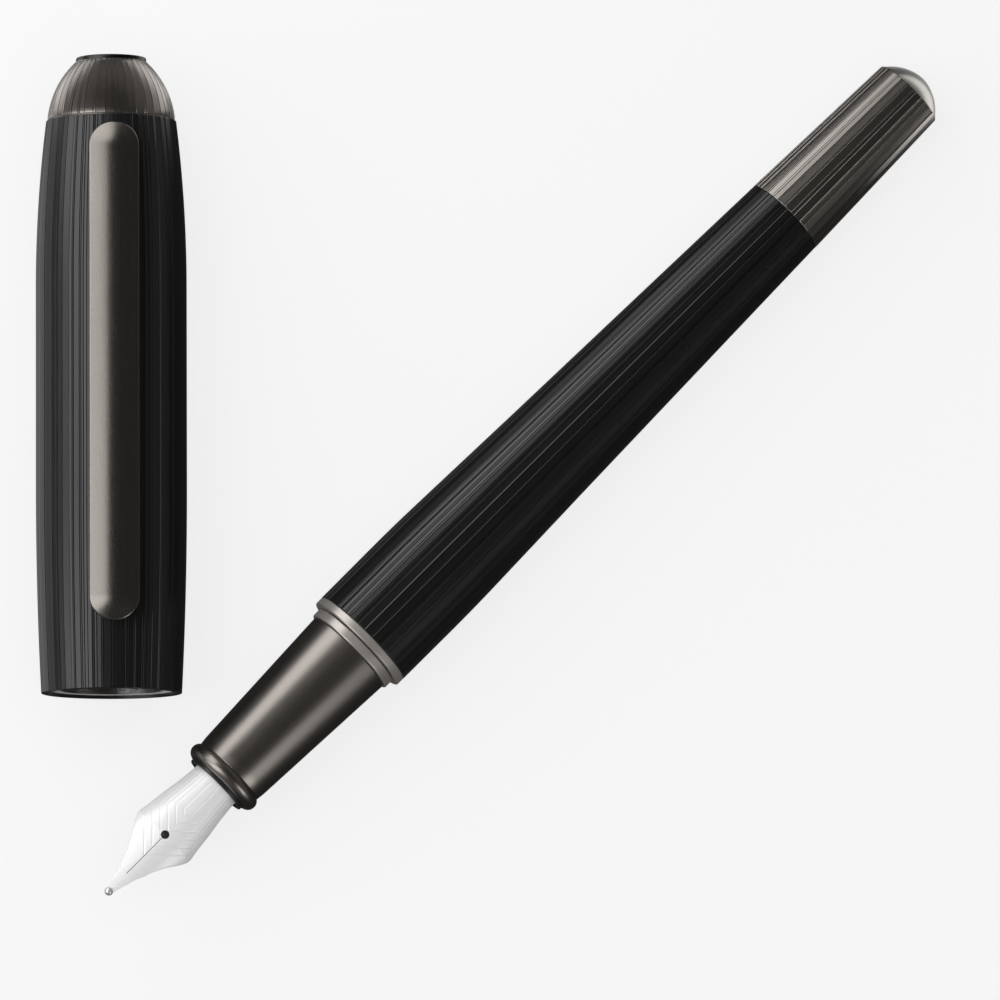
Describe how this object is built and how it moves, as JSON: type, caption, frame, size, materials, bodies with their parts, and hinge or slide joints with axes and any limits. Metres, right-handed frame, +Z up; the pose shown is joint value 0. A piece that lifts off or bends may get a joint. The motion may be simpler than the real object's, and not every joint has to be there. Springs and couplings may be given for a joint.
{
  "type": "fountain pen",
  "caption": "Fountain pen with its cap off: fine-ribbed black barrel and cap, dark metal grip and end pieces, steel nib, screw converter inside and a sprung pocket clip on the cap.",
  "frame": {"origin": "middle of the ground under the pen and the cap as they lie side by side, at the level they rest on", "axes": "+Z up; the cap lies along +Y from mouth to finial with its clip up; the pen lies at 45 degrees between +X and +Y, from nib to tail, leaning 1.6 degrees down to its tail"},
  "size_m": [0.088, 0.0814, 0.0161],
  "materials": {
    "black_lacquer": "black lacquer over fine lengthwise grooves",
    "gunmetal": "dark gunmetal plating, glossy",
    "gunmetal_satin": "dark gunmetal plating, satin",
    "bright_trim": "polished gunmetal",
    "nib_steel": "polished steel, engraved lines",
    "tipping": "ground and polished",
    "black_plastic": "moulded, smooth",
    "liner_plastic": "moulded, smooth",
    "knob_plastic": "moulded, fluted",
    "clear_plastic": "clear, polished",
    "seal_rubber": "smooth",
    "brass": "turned",
    "spring_steel": "bright"
  },
  "bodies": {
    "barrel": {"barrel_shell": "black_lacquer", "trim_ring": "bright_trim", "barrel_insert": "brass", "tail_coupler": "brass", "tail_sleeve": "gunmetal", "tail_dome": "gunmetal"},
    "seat": {"step_ring": "bright_trim"},
    "section": {"section_shell": "gunmetal", "section_thread": "black_plastic", "bead_ring": "gunmetal", "nib_collar": "black_plastic", "ink_nipple": "black_plastic", "nib": "nib_steel", "nib_point": "tipping", "feed": "black_plastic"},
    "converter": {"converter_socket": "black_plastic", "converter_tube": "clear_plastic", "converter_sleeve": "spring_steel"},
    "knob": {"converter_knob": "knob_plastic"},
    "piston": {"piston_seal": "seal_rubber", "piston_rod": "spring_steel"},
    "cap": {"cap_shell": "black_lacquer", "mouth_bushing": "gunmetal", "clutch_ring": "spring_steel", "inner_cap": "liner_plastic", "clip_mount": "brass", "cap_dome": "gunmetal", "cap_disc": "gunmetal_satin", "cap_screw": "spring_steel"},
    "clip": {"clip": "gunmetal_satin"}
  },
  "joints": [
    {"name": "cap_swing", "type": "hinge", "parent": "barrel", "child": "cap", "pos_m": [-0.0433, -0.05596, 0.00732], "axis": [0.0059, 0.0141, 0.9999], "range_deg": [0, 135]},
    {"name": "clip_flex", "type": "hinge", "parent": "cap", "child": "clip", "pos_m": [-0.03669, 0.03033, 0.01362], "axis": [-1, 0, 0], "range_deg": [0, 3], "stiffness_Nm_per_rad": 2},
    {"name": "section_pull", "type": "slide", "parent": "barrel", "child": "seat", "axis": [-0.7068, -0.7068, 0.0282], "range_m": [0, 0.0843]},
    {"name": "section_turn", "type": "hinge", "parent": "seat", "child": "section", "pos_m": [-0.01295, -0.01625, 0.00592], "axis": [-0.7068, -0.7068, 0.0282], "range_deg": [0, 1440]},
    {"name": "converter_pull", "type": "slide", "parent": "section", "child": "converter", "axis": [0.7068, 0.7068, -0.0282], "range_m": [0, 0.008]},
    {"name": "knob_turn", "type": "hinge", "parent": "converter", "child": "knob", "pos_m": [0.01815, 0.01485, 0.00468], "axis": [-0.7068, -0.7068, 0.0282], "range_deg": [0, 2890]},
    {"name": "piston_travel", "type": "slide", "parent": "converter", "child": "piston", "axis": [0.7068, 0.7068, -0.0282], "range_m": [0, 0.02]}
  ],
  "couplings": [
    {"joint": "knob_turn", "follows": "piston_travel", "rad_per_m": 2513.3}
  ]
}
